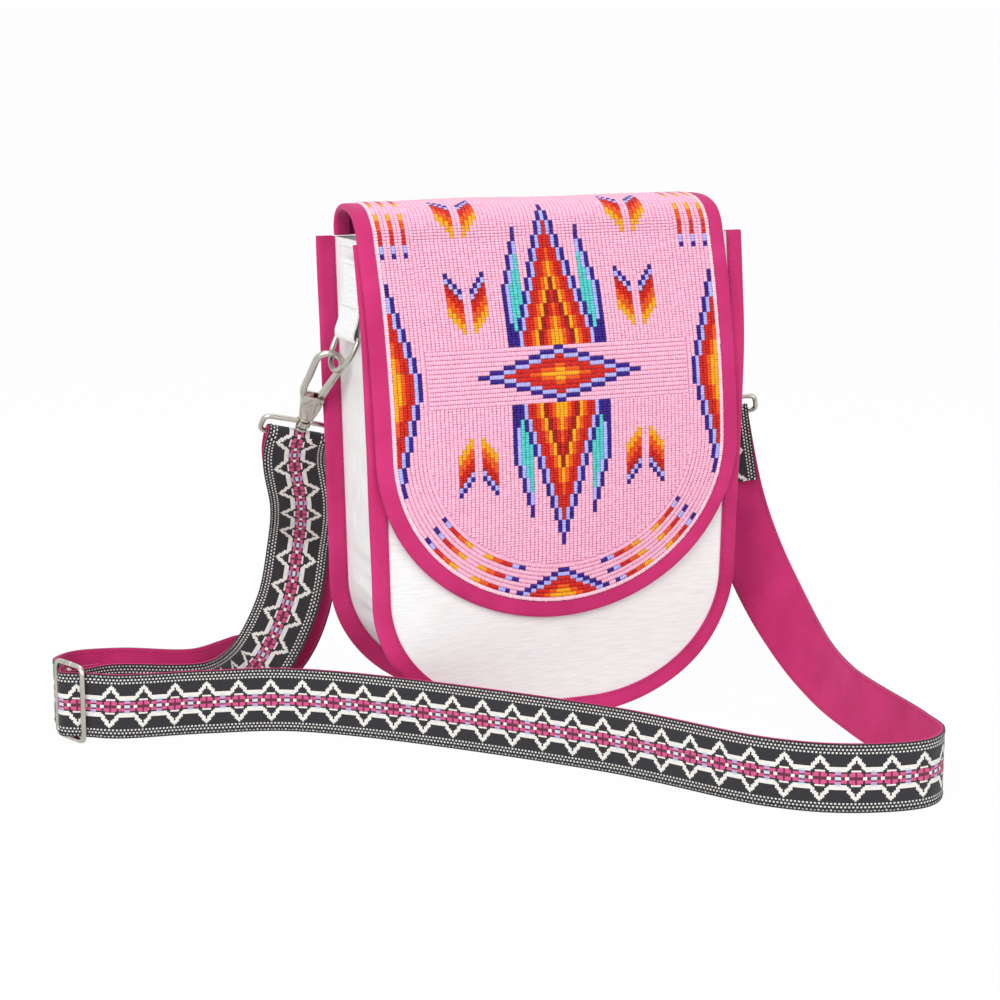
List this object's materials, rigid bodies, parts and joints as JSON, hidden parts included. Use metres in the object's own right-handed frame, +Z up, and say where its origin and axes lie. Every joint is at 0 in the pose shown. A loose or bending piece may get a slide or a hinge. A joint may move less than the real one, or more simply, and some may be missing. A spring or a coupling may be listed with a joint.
{
  "type": "beaded crossbody bag",
  "caption": "Upright white canvas crossbody bag with magenta suede binding, a seed-beaded flap and a woven shoulder strap on snap hooks.",
  "frame": {"origin": "middle of the bag on the floor it stands on, without the strap", "axes": "+X to the right of the beaded front, +Y to the back, +Z up; the front faces -Y"},
  "size_m": [0.4603, 0.3863, 0.3096],
  "materials": {
    "canvas": "matte",
    "magenta_suede": "matte",
    "lining_suede": "matte",
    "pink_beads": "gloss",
    "navy_beads": "gloss",
    "red_beads": "gloss",
    "orange_beads": "gloss",
    "yellow_beads": "gloss",
    "turquoise_beads": "gloss",
    "woven_ribbon": "matte",
    "nickel": "polished"
  },
  "bodies": {
    "bag": {"back_binding": "magenta_suede", "back_panel": "canvas", "front_binding": "magenta_suede", "front_panel": "canvas", "gusset": "canvas", "left_strap_loop": "nickel", "left_tab": "canvas", "right_strap_loop": "nickel", "right_tab": "canvas", "slider_bar": "nickel", "slider_frame": "nickel", "strap_backing": "magenta_suede", "strap_ribbon": "woven_ribbon"},
    "flap": {"bead_ground": "pink_beads", "cross_edge": "navy_beads", "cross_flame": "red_beads", "cross_heart": "yellow_beads", "end_diamond_edge": "navy_beads", "end_diamond_flame": "red_beads", "flap_binding": "magenta_suede", "flap_lining": "lining_suede", "left_brow_inner_feather": "orange_beads", "left_brow_outer_feather": "orange_beads", "left_crown_inner_feather": "orange_beads", "left_crown_outer_feather": "orange_beads", "left_foot_inner_feather": "orange_beads", "left_foot_outer_feather": "orange_beads", "left_rim_diamond_edge": "navy_beads", "left_rim_diamond_flame": "red_beads", "lower_left_blade": "turquoise_beads", "lower_point_edge": "navy_beads", "lower_point_flame": "red_beads", "lower_point_heart": "yellow_beads", "lower_right_blade": "turquoise_beads", "right_brow_inner_feather": "orange_beads", "right_brow_outer_feather": "orange_beads", "right_crown_inner_feather": "orange_beads", "right_crown_outer_feather": "orange_beads", "right_foot_inner_feather": "orange_beads", "right_foot_outer_feather": "orange_beads", "right_rim_diamond_edge": "navy_beads", "right_rim_diamond_flame": "red_beads", "upper_left_blade": "turquoise_beads", "upper_point_edge": "navy_beads", "upper_point_flame": "red_beads", "upper_point_heart": "yellow_beads", "upper_right_blade": "turquoise_beads"},
    "left_d_ring": {"left_d_ring": "nickel"},
    "left_hook": {"left_hook": "nickel", "left_gate_pin": "nickel"},
    "left_gate": {"left_gate": "nickel"},
    "right_d_ring": {"right_d_ring": "nickel"},
    "right_hook": {"right_hook": "nickel", "right_gate_pin": "nickel"},
    "right_gate": {"right_gate": "nickel"}
  },
  "joints": [
    {"name": "flap_hinge", "type": "hinge", "parent": "bag", "child": "flap", "pos_m": [0, 0.04132, 0.2873], "axis": [-1, 0, 0], "range_deg": [0, 110]},
    {"name": "left_d_ring_swing", "type": "hinge", "parent": "bag", "child": "left_d_ring", "pos_m": [-0.11889, 0.00342, 0.232], "axis": [0, 1, 0], "range_deg": [-4, 4]},
    {"name": "left_hook_swivel", "type": "hinge", "parent": "bag", "child": "left_hook", "pos_m": [-0.1317, 0.04672, 0.176], "axis": [0.1155, -0.598, 0.7931], "range_deg": [-14, 14]},
    {"name": "left_gate_hinge", "type": "hinge", "parent": "left_hook", "child": "left_gate", "pos_m": [-0.12627, 0.0348, 0.19018], "axis": [-0.2871, -0.7845, -0.5497], "range_deg": [0, 15], "stiffness_Nm_per_rad": 0.01, "springref_deg": -8.59},
    {"name": "right_d_ring_swing", "type": "hinge", "parent": "bag", "child": "right_d_ring", "pos_m": [0.11889, 0.00342, 0.232], "axis": [0, 1, 0], "range_deg": [-4, 4]},
    {"name": "right_hook_swivel", "type": "hinge", "parent": "bag", "child": "right_hook", "pos_m": [0.1435, 0.03692, 0.1735], "axis": [-0.3424, -0.4123, 0.8442], "range_deg": [-14, 14]},
    {"name": "right_gate_hinge", "type": "hinge", "parent": "right_hook", "child": "right_gate", "pos_m": [0.13387, 0.02897, 0.18821], "axis": [-0.1905, 0.9104, 0.3673], "range_deg": [0, 15], "stiffness_Nm_per_rad": 0.01, "springref_deg": -8.59}
  ]
}
